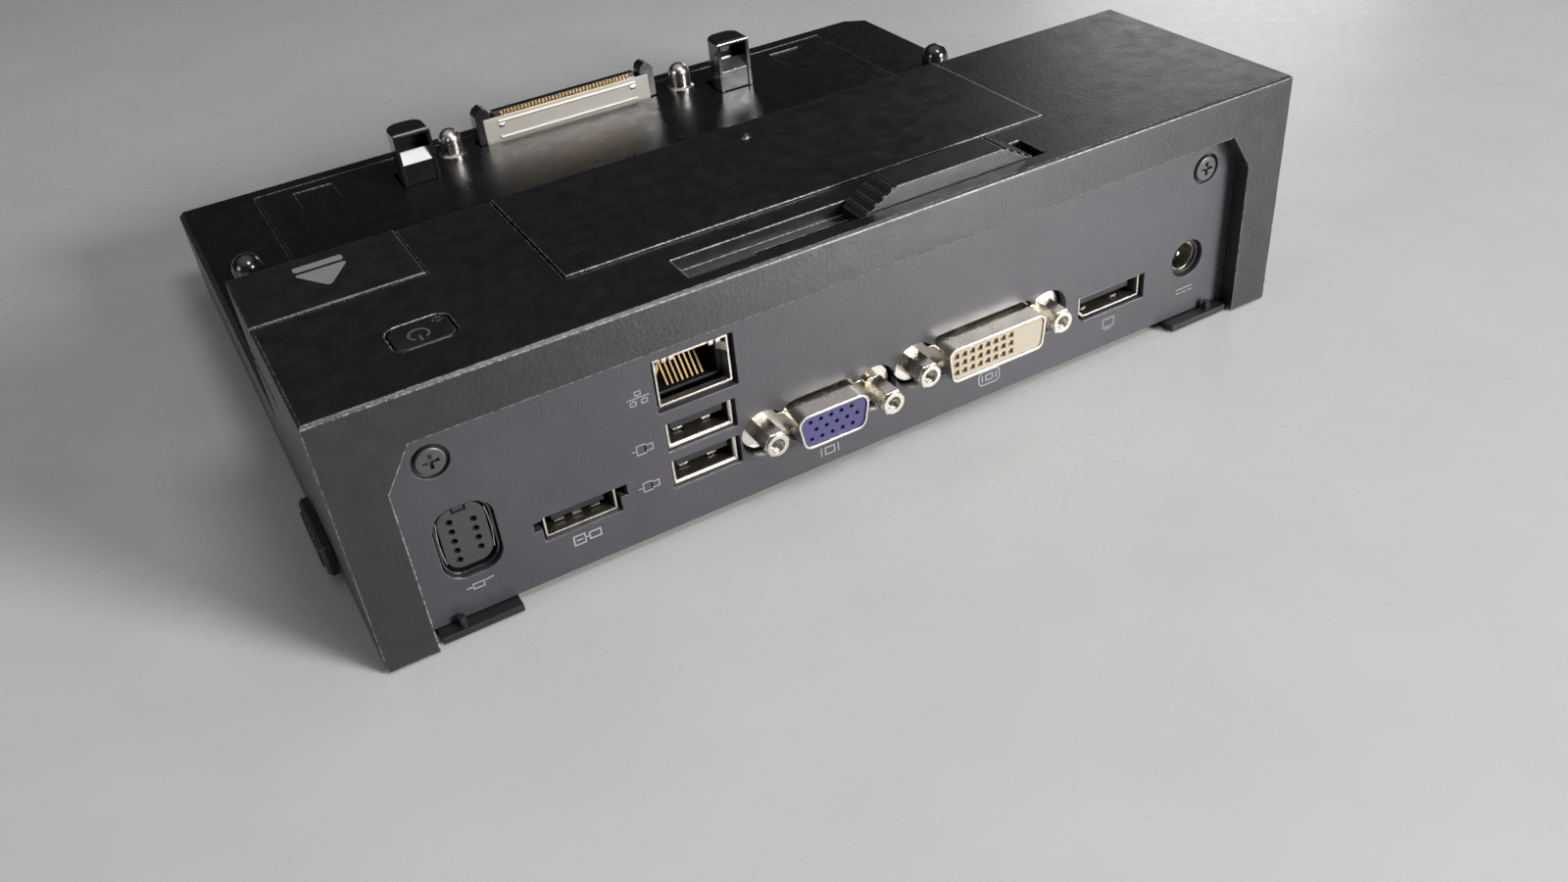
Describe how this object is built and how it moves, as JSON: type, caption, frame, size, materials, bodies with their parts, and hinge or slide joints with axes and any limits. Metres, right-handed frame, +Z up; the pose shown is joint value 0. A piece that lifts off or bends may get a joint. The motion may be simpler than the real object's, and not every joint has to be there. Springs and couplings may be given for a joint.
{
  "type": "laptop docking station",
  "caption": "Black docking station: a flat tray with docking connector, guide pins and hooks, and a raised block with a row of sockets at its rear.",
  "frame": {"origin": "centre of the casings' footprint, on the table; the bounding box's centre lies within 1.4 mm of it", "axes": "+X to the right of a user who sits at the laptop, +Y to the rear where the sockets are, +Z up"},
  "size_m": [0.2086, 0.1717, 0.0565],
  "materials": {
    "casing": "fine texture",
    "panel": "smooth matt",
    "button": "fine texture",
    "gloss_black": "polished",
    "inner_black": "matt",
    "rubber": "matt",
    "screw": "black oxide",
    "steel": "satin",
    "nickel": "satin nickel plate",
    "gold": "gold flash",
    "blue_insert": "satin",
    "cream_insert": "satin",
    "grey_insert": "satin",
    "board": "lacquered",
    "chip": "matt",
    "can": "satin",
    "lamp": "milky",
    "cable": "flexible film",
    "ink": "printed symbols"
  },
  "bodies": {
    "housing": {"base_pan": "inner_black", "base_screws": "screw", "board_chips": "chip", "button_board": "board", "capacitors": "can", "combo_shield": "nickel", "combo_tongue": "inner_black", "corner_posts": "gloss_black", "display_shell": "nickel", "display_tongue": "inner_black", "dock_board": "board", "dock_connector": "gloss_black", "dock_contacts": "gold", "dock_shield": "nickel", "dvi_insert": "cream_insert", "dvi_jack_nuts": "nickel", "dvi_shell": "nickel", "flat_cable": "cable", "guide_pins": "nickel", "hook_spring": "steel", "lan_contacts": "gold", "lan_springs": "nickel", "latch_brackets": "steel", "lever_pin": "steel", "main_board": "board", "panel_screws": "screw", "port_stack_body": "inner_black", "port_stack_shield": "nickel", "power_jack": "inner_black", "power_jack_pin": "nickel", "power_jack_sleeve": "nickel", "power_switch": "inner_black", "rear_housing": "casing", "rear_panel": "panel", "rubber_feet": "rubber", "stand_insert": "grey_insert", "stand_shell": "gloss_black", "tray_cover": "casing", "tray_plate": "steel", "usb_contacts": "gold", "usb_shells": "nickel", "usb_tongues": "inner_black", "vga_insert": "blue_insert", "vga_jack_nuts": "nickel", "vga_shell": "nickel"},
    "spacer_body": {"spacer": "casing"},
    "thumb": {"thumb_slider": "button", "cam_plate": "inner_black"},
    "eject": {"eject_button": "button"},
    "lever": {"release_lever": "inner_black"},
    "strip": {"pull_strip": "steel"},
    "hooks": {"left_hook": "gloss_black", "right_hook": "gloss_black", "hook_shaft": "steel", "hook_crank": "steel"},
    "power_key": {"power_button": "button", "power_light": "lamp"},
    "lock": {"lock_slide": "button"}
  },
  "joints": [
    {"name": "thumb_slide", "type": "slide", "parent": "housing", "child": "thumb", "axis": [1, 0, 0], "range_m": [0, 0.033]},
    {"name": "spacer_slide", "type": "slide", "parent": "housing", "child": "spacer_body", "axis": [0, -1, 0], "range_m": [0, 0.01201]},
    {"name": "eject_press", "type": "slide", "parent": "housing", "child": "eject", "axis": [0, 0, -1], "range_m": [0, 0.0022], "stiffness_N_per_m": 400, "springref_m": -0.004},
    {"name": "lever_turn", "type": "hinge", "parent": "housing", "child": "lever", "pos_m": [0.0875, 0.0515, 0.0136], "axis": [1, 0, 0], "range_deg": [0, 10.52]},
    {"name": "strip_slide", "type": "slide", "parent": "housing", "child": "strip", "axis": [0, 1, 0], "range_m": [0, 0.00148]},
    {"name": "hooks_turn", "type": "hinge", "parent": "housing", "child": "hooks", "pos_m": [0, -0.063, 0.0128], "axis": [1, 0, 0], "range_deg": [0, 11.69]},
    {"name": "power_press", "type": "slide", "parent": "housing", "child": "power_key", "axis": [0, 0, -1], "range_m": [0, 0.0008], "stiffness_N_per_m": 500, "springref_m": -0.001},
    {"name": "lock_move", "type": "slide", "parent": "housing", "child": "lock", "axis": [0, 1, 0], "range_m": [0, 0.006]}
  ],
  "couplings": [
    {"joint": "spacer_slide", "follows": "thumb_slide", "ratio": 0.36364},
    {"joint": "lever_turn", "follows": "eject_press", "rad_per_m": 83.333},
    {"joint": "strip_slide", "follows": "eject_press", "ratio": 0.66667},
    {"joint": "hooks_turn", "follows": "eject_press", "rad_per_m": 92.593}
  ]
}
